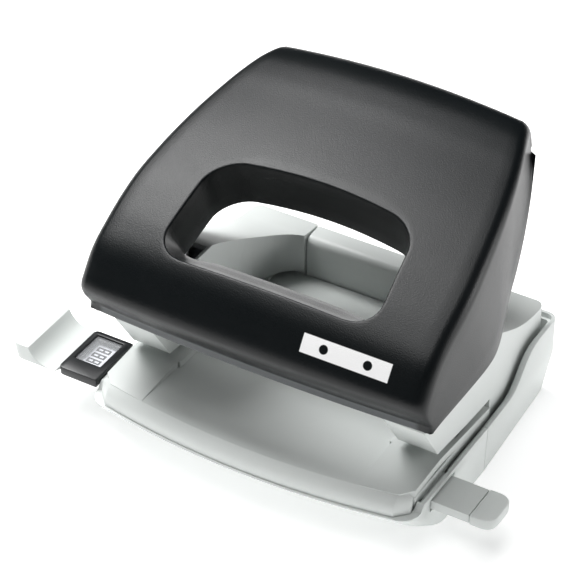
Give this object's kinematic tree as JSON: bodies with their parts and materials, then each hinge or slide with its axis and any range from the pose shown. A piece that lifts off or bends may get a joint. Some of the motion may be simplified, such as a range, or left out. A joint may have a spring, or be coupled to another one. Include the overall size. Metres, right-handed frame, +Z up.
{
  "type": "two-hole office punch",
  "caption": "Desk hole punch with a broad black handle shell, light grey hull base, sliding paper guide with stop flag, sprung punch pins and a hinged chip tray.",
  "frame": {"origin": "on the desk, in the mid-plane, under the line through the two punch pins, on the chip tray's flat underside", "axes": "+Z up, +X towards the guide rail's grip (the user's right), -Y the front, where the paper goes in"},
  "size_m": [0.1391, 0.0883, 0.0857],
  "materials": {
    "handle_black": "charcoal black moulded plastic, fine spark-eroded grain, satin",
    "light_grey": "light grey moulded plastic, satin, very fine grain",
    "tray_grey": "light grey soft moulded plastic",
    "frame_black": "black moulded plastic, slightly glossy",
    "clear": "clear moulded window",
    "label": "pale printed label film",
    "steel": "drawn bright steel",
    "zinc_steel": "zinc-plated pressed steel",
    "tool_steel": "ground hardened steel",
    "spring_steel": "drawn spring steel"
  },
  "bodies": {
    "base": {"lower_shell_front": "light_grey", "lower_shell_rear": "light_grey", "tray_hinge_rod": "steel", "paper_table": "light_grey", "rear_cover": "light_grey", "format_frame": "frame_black", "format_lens": "clear", "rail_click_spring": "spring_steel", "left_cheek": "light_grey", "left_punch_frame": "zinc_steel", "left_die_ring": "tool_steel", "left_pivot_pin": "steel", "left_frame_rivet": "steel", "left_base_screw": "zinc_steel", "left_return_spring": "spring_steel", "right_cheek": "light_grey", "right_punch_frame": "zinc_steel", "right_die_ring": "tool_steel", "right_pivot_pin": "steel", "right_frame_rivet": "steel", "right_base_screw": "zinc_steel", "right_return_spring": "spring_steel"},
    "handle": {"handle_shell": "handle_black", "left_press_arm": "zinc_steel", "right_press_arm": "zinc_steel"},
    "left_punch": {"left_punch_pin": "tool_steel", "left_pin_clip": "spring_steel"},
    "right_punch": {"right_punch_pin": "tool_steel", "right_pin_clip": "spring_steel"},
    "guide": {"guide_rail": "light_grey", "rail_grip": "light_grey", "format_label": "label"},
    "tray": {"chip_tray": "tray_grey"}
  },
  "joints": [
    {"name": "handle_press", "type": "hinge", "parent": "base", "child": "handle", "pos_m": [0, -0.015, 0.039], "axis": [-1, 0, 0], "range_deg": [0, 18.5], "stiffness_Nm_per_rad": 0.9, "springref_deg": -14.32},
    {"name": "left_punch_stroke", "type": "slide", "parent": "base", "child": "left_punch", "axis": [0, 0, -1], "range_m": [0, 0.0056], "deforming": ["left_return_spring"]},
    {"name": "right_punch_stroke", "type": "slide", "parent": "base", "child": "right_punch", "axis": [0, 0, -1], "range_m": [0, 0.0056], "deforming": ["right_return_spring"]},
    {"name": "guide_slide", "type": "slide", "parent": "base", "child": "guide", "axis": [-1, 0, 0], "range_m": [0, 0.08]},
    {"name": "tray_swing", "type": "hinge", "parent": "base", "child": "tray", "pos_m": [0, 0.0394, 0.0032], "axis": [1, 0, 0], "range_deg": [0, 75]}
  ],
  "couplings": [
    {"joint": "left_punch_stroke", "follows": "handle_press", "m_per_rad": 0.0166},
    {"joint": "right_punch_stroke", "follows": "handle_press", "m_per_rad": 0.0166}
  ]
}
